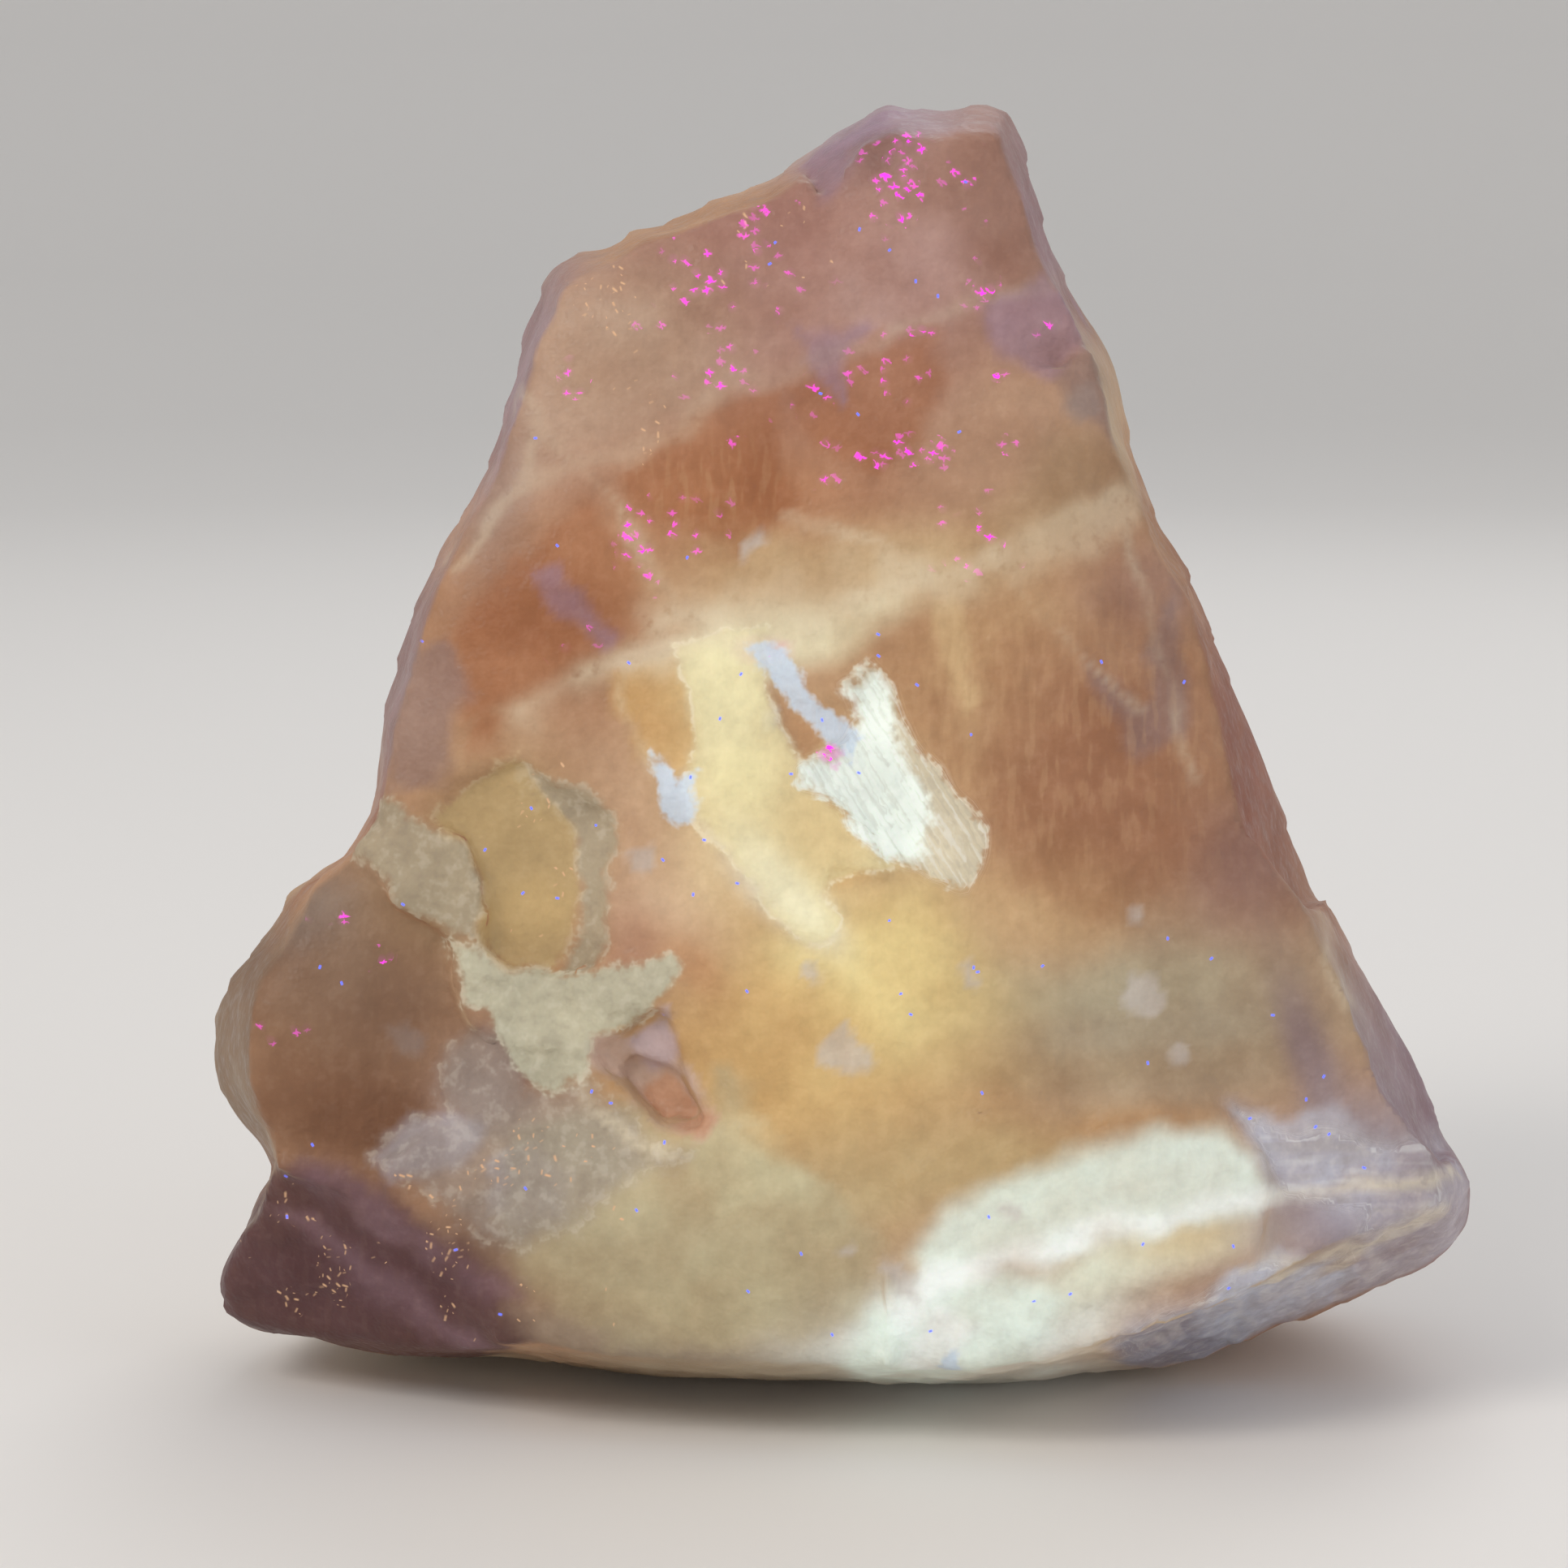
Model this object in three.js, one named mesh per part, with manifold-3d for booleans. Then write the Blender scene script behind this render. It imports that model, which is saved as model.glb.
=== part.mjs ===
// A broken lump of honey calcite, one natural piece: a broad front with plates and pits left by cleavage,
// a steep right side, a rounded lobe at the lower left, a stepped back and a flat rough foot.
// Millimetres. The front view lies in X (right) and Y (up), with Z towards the viewer, until the last lines
// stand the piece up on its foot, leaning back.

import * as THREE from "three";
import { ImprovedNoise } from "three/addons/math/ImprovedNoise.js";
import { mergeVertices } from "three/addons/utils/BufferGeometryUtils.js";
import Module from "manifold-3d";

const wasm = await Module();
wasm.setup();

// Driving dimensions
const HEIGHT = 160;
const LEAN_DEG = 8;
const FRONT_DEPTH = 27; // from the rim to the front face
const FOOT_DEPTH = 50; // from the rim to the back, near the foot
const TOP_DEPTH = 22; // from the rim to the back, near the top
const FOOT_CUT = 2.4; // taken off the lowest point to make the foot

// Places are given as units across and down on a front view, where the piece is VIEW.tall units high, and a
// depth in millimetres over the plane of the rim. The view is seen from EYE_AWAY before the place VIEW.eye.
const VIEW = { middle: 1030, lowest: 1706, tall: 1579, eye: 966 };
const EYE_AWAY = 500;
const UNIT = HEIGHT / VIEW.tall;
function at([across, down, depth = 0]) {
  const nearer = 1 - depth / EYE_AWAY;
  return new THREE.Vector3(
    (VIEW.eye + (across - VIEW.eye) * nearer - VIEW.middle) * UNIT,
    (VIEW.lowest - VIEW.eye - (down - VIEW.eye) * nearer) * UNIT,
    depth,
  );
}

// The rim seen from the front, anticlockwise from the left shoulder
const RIM = [
  [469, 915], [468, 958], [455, 1012], [430, 1056], [398, 1076], [354, 1104], [340, 1140], [312, 1176],
  [277, 1214], [266, 1262], [265, 1312], [278, 1354], [306, 1388], [338, 1424], [340, 1452], [314, 1478],
  [309, 1506], [285, 1540], [271, 1590], [276, 1620], [294, 1632], [368, 1643], [430, 1660], [520, 1669],
  [560, 1674], [640, 1667], [704, 1683], [780, 1691], [900, 1697], [1020, 1702], [1150, 1705], [1230, 1705],
  [1310, 1697], [1352, 1687], [1440, 1686], [1494, 1676], [1570, 1640], [1664, 1614], [1730, 1580],
  [1790, 1534], [1815, 1494], [1814, 1454], [1778, 1400], [1738, 1300], [1690, 1220], [1642, 1128],
  [1600, 1042], [1560, 952], [1520, 856], [1487, 770], [1468, 716], [1452, 688], [1432, 660], [1404, 590],
  [1386, 532], [1374, 462], [1354, 412], [1328, 378], [1304, 330], [1280, 268], [1264, 190], [1256, 156],
  [1234, 131], [1194, 131], [1150, 143], [1136, 142], [1124, 130], [1104, 127], [1058, 149], [1008, 182],
  [974, 207], [930, 233], [880, 246], [836, 271], [772, 288], [756, 306], [712, 313], [684, 324],
  [668, 350], [662, 380], [648, 404], [643, 446], [627, 496], [617, 524], [612, 560], [590, 598],
  [578, 628], [550, 664], [526, 718], [504, 776], [490, 826], [474, 876],
];
const CENTRE = new THREE.Vector3(1010, 1050, 0);
const HEART = at([1010, 1050, -8]);

// The sides, from in front of the piece to behind it: depth, share of the rim's width, share of its detail
const AROUND = 132;
const SIDES = [
  [50, 0.9, 0], [32, 0.965, 0.45], [20, 0.985, 0.8], [9, 0.996, 1], [0, 1, 1],
  [-8, 0.99, 0.9], [-18, 0.965, 0.6], [-32, 0.915, 0.3], [-50, 0.83, 0.1], [-75, 0.68, 0],
];
const SIDE_WAVES = { share: 0.03, every: 16, seed: 2.9 }; // how far the sides swing inwards, and how often
const SMOOTHED_OVER = 6; // rim points to either side that the smooth rim is evened out over

// The grid that the front and back are drawn on, and how far its corners stray, as a share of a cell
const GRID = { wide: 196, tall: 190, deep: 130, across: 39, up: 38 };
const STRAY = { share: 0.84, every: 0.61, seeds: [31.7, 57.3] };

// Smooth bumps from -1 to 1, a size in millimetres apart
const noise = new ImprovedNoise();
function bumps(p, size, seed) {
  return noise.noise(p.x / size + seed, p.y / size - seed, p.z / size + 0.5 * seed);
}

const corners = RIM.map(([x, y]) => new THREE.Vector3(x, y, 0));
const outlineCurve = new THREE.CatmullRomCurve3(corners, true, "centripetal");
const rim = outlineCurve.getSpacedPoints(AROUND).slice(0, AROUND);
const smoothRim = rim.map((_, i) => {
  const sum = new THREE.Vector3();
  for (let k = -SMOOTHED_OVER; k <= SMOOTHED_OVER; k++) {
    sum.add(rim[(i + k + AROUND) % AROUND]);
  }
  return sum.divideScalar(2 * SMOOTHED_OVER + 1);
});

function waveAt(edge, depth) {
  const place = edge.clone().multiplyScalar(UNIT).setZ(depth);
  return SIDE_WAVES.share * Math.abs(bumps(place, SIDE_WAVES.every, SIDE_WAVES.seed));
}

// The sides alone, as a sphere drawn out to the rim, with its poles well clear of the front and the back
function sidesBlock() {
  const rings = SIDES.length + 1;
  const block = new THREE.SphereGeometry(1, AROUND, rings);
  const place = block.attributes.position;
  const uv = block.attributes.uv;
  for (let i = 0; i < place.count; i++) {
    const step = Math.round((uv.getX(i) + 1) * AROUND) % AROUND;
    const ring = Math.round((1 - uv.getY(i)) * rings);
    const [depth, share, detail] = SIDES[THREE.MathUtils.clamp(ring - 1, 0, SIDES.length - 1)];
    const edge = smoothRim[step].clone().lerp(rim[step], detail);
    const wave = depth === 0 ? 0 : waveAt(edge, depth);
    const pole = ring === 0 || ring === rings;
    const seen = CENTRE.clone().lerp(edge, pole ? 0 : share - wave);
    const p = at([seen.x, seen.y, depth]);
    place.setXYZ(i, p.x, p.y, p.z);
  }
  return block;
}

// Height of the front over the plane of the rim: swells and hollows, falling away to the rim and to the top
const SWELLS = [
  { place: [1230, 1330], wide: 45, by: 5 },
  { place: [1380, 1560], wide: 20, by: 2 },
  { place: [420, 1270], wide: 13, by: 2 },
  { place: [560, 1560], wide: 26, by: -4 },
  { place: [700, 1330], wide: 20, by: -3 },
];
const FRONT_BUMPS = [
  { by: 2.4, every: 37, seed: 1.7 },
  { by: 1.3, every: 13, seed: 5.2 },
];
const BACK_BUMPS = [
  { by: 5, every: 31, seed: 12.3 },
  { by: 2.5, every: 13, seed: 6.6 },
];
const RIM_FALL = { by: 5.5, over: 5 };
const TOP_FALL = { from: 70, share: 0.05 };
const rimPlaces = rim.map((p) => at([p.x, p.y]));

function uneven(p, layers) {
  return layers.reduce((sum, { by, every, seed }) => sum + by * bumps(p, every, seed), 0);
}

function frontFace(p) {
  const toRim = Math.min(...rimPlaces.map((edge) => edge.distanceTo(p)));
  let height = FRONT_DEPTH - RIM_FALL.by * Math.exp(-toRim / RIM_FALL.over);
  height -= TOP_FALL.share * Math.max(0, p.y - TOP_FALL.from);
  for (const { place, wide, by } of SWELLS) {
    height += by * Math.exp(-((p.distanceTo(at(place)) / wide) ** 2));
  }
  return height + uneven(p, FRONT_BUMPS);
}

// Height of the back, which slopes in towards the top
function backFace(p) {
  const rise = THREE.MathUtils.clamp(p.y / HEIGHT, 0, 1);
  const depth = THREE.MathUtils.lerp(FOOT_DEPTH, TOP_DEPTH, rise);
  return -depth + uneven(p, BACK_BUMPS);
}

// A box whose front and back are drawn to those heights, on a grid that strays from straight lines
function slab() {
  const box = new THREE.BoxGeometry(GRID.wide, GRID.tall, GRID.deep, GRID.across, GRID.up, 1);
  const place = box.attributes.position;
  const cell = GRID.wide / GRID.across;
  for (let i = 0; i < place.count; i++) {
    const front = place.getZ(i) > 0;
    const p = new THREE.Vector3(place.getX(i), place.getY(i) + HEIGHT / 2, 0);
    const stray = STRAY.seeds.map((seed) => STRAY.share * cell * bumps(p, STRAY.every * cell, seed));
    p.x += stray[0];
    p.y += stray[1];
    place.setXYZ(i, p.x, p.y, front ? frontFace(p) : backFace(p));
  }
  return box;
}

// A closed geometry as a solid, and a solid as a geometry
const MERGED_WITHIN = 1e-4;
function solidOf(geometry) {
  const bare = geometry.clone();
  bare.deleteAttribute("normal");
  bare.deleteAttribute("uv");
  const merged = mergeVertices(bare, MERGED_WITHIN);
  return new wasm.Manifold(
    new wasm.Mesh({
      numProp: 3,
      vertProperties: merged.attributes.position.array,
      triVerts: new Uint32Array(merged.index.array),
    }),
  );
}

function geometryOf(solid) {
  const { numProp, numVert, vertProperties, triVerts } = solid.getMesh();
  const place = new Float32Array(numVert * 3);
  for (let i = 0; i < numVert; i++) {
    place.set(vertProperties.subarray(i * numProp, i * numProp + 3), i * 3);
  }
  const geometry = new THREE.BufferGeometry();
  geometry.setAttribute("position", new THREE.BufferAttribute(place, 3));
  return geometry.setIndex(new THREE.BufferAttribute(triVerts, 1));
}

// Everything on the side of a plane that its normal points to, as a big block
const BLOCK = 400;
function beyond(normal, p) {
  const block = new THREE.BoxGeometry(BLOCK, BLOCK, BLOCK).translate(0, 0, BLOCK / 2);
  block.applyQuaternion(new THREE.Quaternion().setFromUnitVectors(new THREE.Vector3(0, 0, 1), normal));
  return solidOf(block.translate(p.x, p.y, p.z));
}

// Everything on the outer side of the plane through three places
function outside(places) {
  const [a, b, c] = places.map(at);
  const normal = b.clone().sub(a).cross(c.clone().sub(a)).normalize();
  return beyond(normal.dot(HEART.clone().sub(a)) > 0 ? normal.negate() : normal, a);
}

// A straight-sided block over an outline, drawn as it is seen on the front face, from one depth to another
const FRONT_SPAN = [6, 60];
const THROUGH = [-70, 60];
function over(outline, [from, to]) {
  const flat = outline.map(([x, y]) => new THREE.Vector2().copy(at([x, y, FRONT_DEPTH])));
  const shape = new THREE.Shape(flat);
  const block = new THREE.ExtrudeGeometry(shape, { depth: to - from, bevelEnabled: false });
  return solidOf(block.translate(0, 0, from));
}

function moved(solid, depth) {
  return solidOf(geometryOf(solid).translate(0, 0, depth));
}

function raised(body, outline, by) {
  return body.add(over(outline, FRONT_SPAN).intersect(moved(body, by)));
}

function sunk(body, outline, by) {
  return body.subtract(over(outline, FRONT_SPAN).subtract(moved(body, -by)));
}

function chipped(body, outline, places) {
  return body.subtract(over(outline, THROUGH).intersect(outside(places)));
}

// Flat breaks right across the back, each by three places on it
const BREAKS = [
  [[700, 600, -34], [1300, 700, -32], [900, 1500, -50]],
  [[1480, 740, -8], [1806, 1450, -10], [1400, 1100, -48]],
  [[655, 400, -7], [470, 900, -10], [700, 800, -44]],
  [[264, 1260, -10], [275, 1600, -12], [560, 1400, -50]],
  [[690, 320, -6], [1110, 125, -5], [900, 420, -30]],
];

// Breaks within an outline, each by three places on the plane that is left
const CHIPS = [
  // down the right side, from the top
  {
    outline: [
      [1150, 90], [1225, 150], [1290, 345], [1400, 330], [1400, 60],
    ],
    plane: [[1225, 150, 22], [1290, 345, 24], [1318, 345, -6]],
  },
  {
    outline: [
      [1290, 360], [1330, 395], [1400, 600], [1420, 640], [1500, 620], [1400, 300],
    ],
    plane: [[1330, 395, 24], [1400, 600, 25], [1412, 532, -6]],
  },
  {
    outline: [
      [1420, 650], [1455, 700], [1530, 1020], [1610, 1130], [1760, 1100], [1500, 600],
    ],
    plane: [[1455, 700, 25], [1530, 1020, 27], [1592, 1020, -6]],
  },
  {
    outline: [
      [1600, 1130], [1650, 1200], [1700, 1350], [1790, 1450], [1900, 1420], [1700, 1060],
    ],
    plane: [[1650, 1230, 27], [1705, 1370, 26], [1775, 1360, -6]],
  },
  // the pale wedge on the top edge
  {
    outline: [
      [985, 190], [1006, 239], [1019, 256], [1044, 201], [1065, 167], [1103, 150], [1143, 146],
      [1120, 90], [960, 150],
    ],
    plane: [[1019, 256, 23], [1103, 150, 21], [1019, 169, 9]],
  },
  // the pale facet by the upper right edge
  {
    outline: [
      [1205, 400], [1290, 343], [1360, 400], [1312, 452], [1240, 440],
    ],
    plane: [[1212, 425, 24.5], [1285, 345, 24.5], [1345, 415, 20.5]],
  },
  // the corner at the lower left
  {
    outline: [
      [220, 1440], [345, 1446], [470, 1500], [560, 1600], [650, 1720], [200, 1720],
    ],
    plane: [[345, 1446, 19], [650, 1700, 19], [285, 1600, 5]],
  },
  // the underside at the lower right
  {
    outline: [
      [1180, 1760], [1200, 1700], [1360, 1640], [1500, 1600], [1660, 1520], [1800, 1440], [1900, 1500],
      [1700, 1720],
    ],
    plane: [[1350, 1660, 26], [1650, 1530, 27], [1800, 1530, 2]],
  },
];

// Places on the front that stand a step out or in from what is round them, in millimetres
const PLATES = [
  // cream plate by the left shoulder
  {
    by: 1.3,
    outline: [
      [462, 1005], [476, 981], [493, 986], [510, 996], [533, 1016], [559, 1024], [574, 1033],
      [582, 1056], [589, 1086], [604, 1129], [592, 1145], [596, 1165], [553, 1159], [536, 1144],
      [510, 1132], [483, 1116], [470, 1079], [444, 1050], [438, 1040],
    ],
  },
  // yellow plates in the middle
  {
    by: 1.5,
    outline: [
      [760, 825], [850, 790], [930, 770], [950, 850], [965, 900], [1000, 955], [1040, 985],
      [1080, 1040], [1090, 1080], [1060, 1070], [1020, 1060], [1008, 1085], [1028, 1120], [1030, 1150],
      [985, 1155], [955, 1140], [900, 1060], [865, 1010], [830, 1000], [800, 940], [765, 860],
    ],
  },
  // cream ledge along the foot at the left
  {
    by: 1.6,
    outline: [
      [735, 1320], [771, 1345], [795, 1375], [820, 1400], [860, 1400], [915, 1380], [950, 1395],
      [975, 1420], [1040, 1500], [1085, 1545], [1100, 1600], [1100, 1740], [620, 1740], [600, 1600],
      [480, 1500], [470, 1440], [520, 1400], [560, 1390], [600, 1310], [630, 1288], [700, 1290],
    ],
  },
  // cream shelf over the pit
  {
    by: 1.1,
    outline: [
      [560, 1165], [604, 1178], [659, 1203], [725, 1192], [770, 1180], [822, 1176], [836, 1210],
      [826, 1240], [788, 1252], [735, 1292], [700, 1290], [630, 1288], [575, 1262], [556, 1210],
    ],
  },
  // orange ledge over the lower right, and the pale layer below it
  {
    by: 1.6,
    outline: [
      [1090, 1560], [1110, 1450], [1170, 1400], [1230, 1350], [1300, 1365], [1330, 1392], [1400, 1350],
      [1500, 1360], [1545, 1405], [1560, 1450], [1545, 1560], [1380, 1640], [1150, 1740], [1090, 1700],
    ],
  },
  {
    by: 1.2,
    outline: [
      [1110, 1640], [1120, 1560], [1230, 1490], [1350, 1450], [1540, 1400], [1570, 1460], [1540, 1540],
      [1300, 1600], [1200, 1720],
    ],
  },
  // amber window
  {
    by: -1.8,
    outline: [
      [534, 996], [546, 1023], [569, 1029], [586, 1066], [594, 1112], [602, 1129], [592, 1152],
      [596, 1172], [632, 1195], [682, 1205], [743, 1184], [752, 1145], [747, 1129], [758, 1086],
      [747, 1066], [765, 1046], [758, 1009], [728, 986], [675, 963], [645, 930], [592, 953], [559, 966],
      [536, 983],
    ],
  },
  // the pit, with its deeper floor
  {
    by: -2.2,
    outline: [
      [728, 1286], [785, 1263], [788, 1252], [801, 1242], [821, 1245], [831, 1265], [838, 1311],
      [864, 1361], [874, 1384], [861, 1398], [838, 1384], [811, 1388], [772, 1341], [735, 1318],
    ],
  },
  {
    by: -2.8,
    outline: [
      [760, 1322], [776, 1300], [836, 1318], [862, 1362], [870, 1384], [838, 1380], [811, 1384],
      [778, 1346],
    ],
  },
  // white fibrous scar
  {
    by: -1.3,
    outline: [
      [1051, 838], [1080, 832], [1096, 843], [1098, 880], [1118, 902], [1144, 950], [1192, 991],
      [1204, 1039], [1209, 1074], [1179, 1092], [1150, 1093], [1112, 1064], [1067, 1020], [1023, 985],
      [994, 972], [984, 950], [1010, 927], [1051, 899],
    ],
  },
  // gap beside the scar
  {
    by: -0.9,
    outline: [
      [935, 842], [958, 838], [1000, 868], [1028, 905], [1010, 922], [975, 940], [962, 900],
    ],
  },
  // the smooth face of the lobe at the lower left
  {
    by: -1.7,
    outline: [
      [230, 1150], [380, 1020], [440, 1062], [470, 1085], [483, 1116], [510, 1132], [549, 1149],
      [555, 1170], [556, 1210], [575, 1262], [600, 1290], [560, 1300], [545, 1335], [545, 1365],
      [530, 1400], [475, 1432], [440, 1440], [400, 1437], [355, 1440], [230, 1400],
    ],
  },
];

// The three directions that the stone splits along, and the ledges it left in the back: each takes the corner
// away that lies beyond two of these faces where they meet at a place
const LEVEL = new THREE.Vector3(0, 0, -1);
const RISING = new THREE.Vector3(-0.362, 0.896, 0.259).normalize();
const FALLING = new THREE.Vector3(0.801, 0.54, 0.259).normalize();
const LEDGES = [
  [[1000, 1300, -39.5], LEVEL, RISING],
  [[930, 1010, -34], LEVEL, RISING],
  [[1080, 760, -29], LEVEL, RISING],
  [[960, 480, -24.5], LEVEL, RISING],
  [[1290, 1250, -36.5], LEVEL, FALLING],
  [[680, 1180, -38], LEVEL, FALLING.clone().negate()],
  [[1130, 640, -26.5], LEVEL, FALLING],
  [[900, 1560, -45], LEVEL, RISING.clone().negate()],
];

let calcite = solidOf(sidesBlock()).intersect(solidOf(slab()));
for (const places of BREAKS) {
  calcite = calcite.subtract(outside(places));
}
for (const [place, tread, riser] of LEDGES) {
  calcite = calcite.subtract(beyond(tread, at(place)).intersect(beyond(riser, at(place))));
}
for (const { outline, plane } of CHIPS) {
  calcite = chipped(calcite, outline, plane);
}
for (const { by, outline } of PLATES) {
  calcite = by > 0 ? raised(calcite, outline, by) : sunk(calcite, outline, -by);
}

// Stood up, with its foot cut flat and its middle over the origin
const standing = geometryOf(calcite).rotateX(THREE.MathUtils.degToRad(90 - LEAN_DEG));
standing.computeBoundingBox();
const { min, max } = standing.boundingBox;
const ground = new THREE.BoxGeometry(BLOCK, BLOCK, BLOCK);
ground.translate(0, 0, min.z + FOOT_CUT - BLOCK / 2);
const footed = solidOf(standing).subtract(solidOf(ground));

const stone = new THREE.MeshStandardMaterial({ color: 0xd9a066, roughness: 0.4, metalness: 0 });
const mesh = new THREE.Mesh(geometryOf(footed), stone);
mesh.name = "calcite";

const specimen = new THREE.Group();
specimen.position.set(-(min.x + max.x) / 2, -(min.y + max.y) / 2, -(min.z + FOOT_CUT));
specimen.add(mesh);

export default specimen;
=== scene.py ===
"""A lump of honey calcite on a pale floor.

A finely broken surface lies over the part's solid, with the stone's veils, crusts and specks. Painted light
lies on it too: a painted glow, a paler middle and a darker rim in its colour, and painted glints. Three
sets of coordinates are used. The row frame is the scene's own, in metres. The stone's own frame is in
millimetres, with X to the right, Y up and Z towards the viewer of the broad front. The front view gives
units across and down, as they are seen from the camera.
"""
import math
from collections import namedtuple

import bpy
import numpy as np
from mathutils import Matrix, Vector


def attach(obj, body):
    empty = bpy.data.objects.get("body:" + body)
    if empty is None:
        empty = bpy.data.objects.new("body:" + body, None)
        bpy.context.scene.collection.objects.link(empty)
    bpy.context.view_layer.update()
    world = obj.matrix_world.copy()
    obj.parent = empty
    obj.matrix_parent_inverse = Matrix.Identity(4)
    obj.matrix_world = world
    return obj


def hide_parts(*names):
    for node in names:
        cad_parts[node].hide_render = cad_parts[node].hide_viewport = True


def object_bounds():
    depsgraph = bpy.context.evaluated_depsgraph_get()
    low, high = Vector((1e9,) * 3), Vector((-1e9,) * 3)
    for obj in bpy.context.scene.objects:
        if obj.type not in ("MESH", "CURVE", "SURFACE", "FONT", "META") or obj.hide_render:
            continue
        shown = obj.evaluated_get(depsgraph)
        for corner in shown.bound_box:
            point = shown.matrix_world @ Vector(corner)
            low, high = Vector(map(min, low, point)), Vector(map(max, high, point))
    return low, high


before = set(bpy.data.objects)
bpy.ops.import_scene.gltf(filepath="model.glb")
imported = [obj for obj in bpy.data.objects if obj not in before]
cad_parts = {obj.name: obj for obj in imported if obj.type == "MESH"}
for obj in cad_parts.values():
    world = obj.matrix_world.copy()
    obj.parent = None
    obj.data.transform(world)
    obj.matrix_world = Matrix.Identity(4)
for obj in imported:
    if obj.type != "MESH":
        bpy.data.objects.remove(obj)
cad_low, cad_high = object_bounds()

# How the stone's own frame lies in the row frame
MM = 0.001
LEAN_DEG = 8
PLACE_MM = Vector((-1.033, -8.482, 0.324))
TURN = Matrix.Rotation(math.radians(90 - LEAN_DEG), 3, "X")

# The front view: its units, and the eye in front of the middle of the picture
UNIT_MM = 160 / 1579
MIDDLE_ACROSS = 1030
LOWEST_DOWN = 1706
EYE = 966
EYE_AWAY_MM = 500
PICTURE_UNITS = 1932


def own_frame(row_mm):
    """Places in the row frame, in millimetres, as places in the stone's own frame."""
    return (row_mm - np.array(PLACE_MM)) @ np.array(TURN)


def row_frame(own_mm):
    return own_mm @ np.array(TURN).T + np.array(PLACE_MM)


def front_view(own_mm):
    """Units across and down on the front view for places in the stone's own frame."""
    nearer = 1 - own_mm[:, 2] / EYE_AWAY_MM
    across = EYE + (own_mm[:, 0] / UNIT_MM + MIDDLE_ACROSS - EYE) / nearer
    down = EYE + (LOWEST_DOWN - EYE - own_mm[:, 1] / UNIT_MM) / nearer
    return np.stack([across, down], 1)


# Noise and distances, for many places at once

# Large odd numbers that mix a place's whole numbers with a seed, and half the largest mixed number
MIX_PLACE = np.array([374761393, 668265263, 3266489917], np.uint32)
MIX_SEED = 974711
MIX_FIRST = np.uint32(2246822519)
MIX_SECOND = np.uint32(3266489917)
HALF_RANGE = 2147483647.5
# How far each seed moves the noise's cells, so that two seeds don't share their edges
SEED_SHIFT = 7.31


def lattice(cell, seed):
    """A fixed random number from -1 to 1 for each whole-number place."""
    mixed = (cell.astype(np.int64).astype(np.uint32) * MIX_PLACE).sum(1, dtype=np.uint32)
    mixed = mixed + np.uint32(seed * MIX_SEED)
    mixed = (mixed ^ (mixed >> np.uint32(15))) * MIX_FIRST
    mixed = (mixed ^ (mixed >> np.uint32(13))) * MIX_SECOND
    return (mixed ^ (mixed >> np.uint32(16))).astype(np.float64) / HALF_RANGE - 1


def noise(p, size, seed):
    """Smooth noise from -1 to 1 with lumps about that many millimetres across."""
    q = p / size + seed * SEED_SHIFT
    cell = np.floor(q)
    f = q - cell
    f = f * f * (3 - 2 * f)
    total = np.zeros(len(p))
    for corner in range(8):
        offset = np.array([corner & 1, corner >> 1 & 1, corner >> 2 & 1])
        weight = np.prod(np.where(offset, f, 1 - f), 1)
        total += weight * lattice(cell + offset, seed)
    return total


def layered(p, size, seed, layers=3):
    """Noise with finer, weaker noise on top, each layer of half the size and height."""
    return sum(noise(p, size / 2 ** k, seed + k) / 2 ** k for k in range(layers)) / (2 - 2 ** (1 - layers))


def smooth(x, low, high):
    """0 up to low, 1 from high on and smooth between them."""
    t = np.clip((x - low) / (high - low), 0, 1)
    return t * t * (3 - 2 * t)


def to_line(places, line):
    """The distance from each place to the nearest point of a bent line."""
    best = np.full(len(places), np.inf)
    for a, b in zip(np.array(line[:-1], float), np.array(line[1:], float)):
        along = np.clip((places - a) @ (b - a) / ((b - a) @ (b - a)), 0, 1)
        best = np.minimum(best, np.linalg.norm(places - a - along[:, None] * (b - a), axis=1))
    return best


def within(places, outline):
    """The distance from each place to an outline: positive inside it, negative outside."""
    closed = list(outline) + [outline[0]]
    x, y = places[:, 0], places[:, 1]
    is_in = np.zeros(len(places), bool)
    for (ax, ay), (bx, by) in zip(closed[:-1], closed[1:]):
        if ay != by:
            is_in ^= ((ay > y) != (by > y)) & (x < ax + (bx - ax) * (y - ay) / (by - ay))
    return np.where(is_in, 1, -1) * to_line(places, closed)


# A patch on the front view has its outlines, its tint, how strong it is, over how many units it ends, how
# far its edge wanders and how pale its rim is. Later patches lie over earlier ones.
Patch = namedtuple("Patch", "outlines tint strength soft wander rim", defaults=[0.0])

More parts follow.
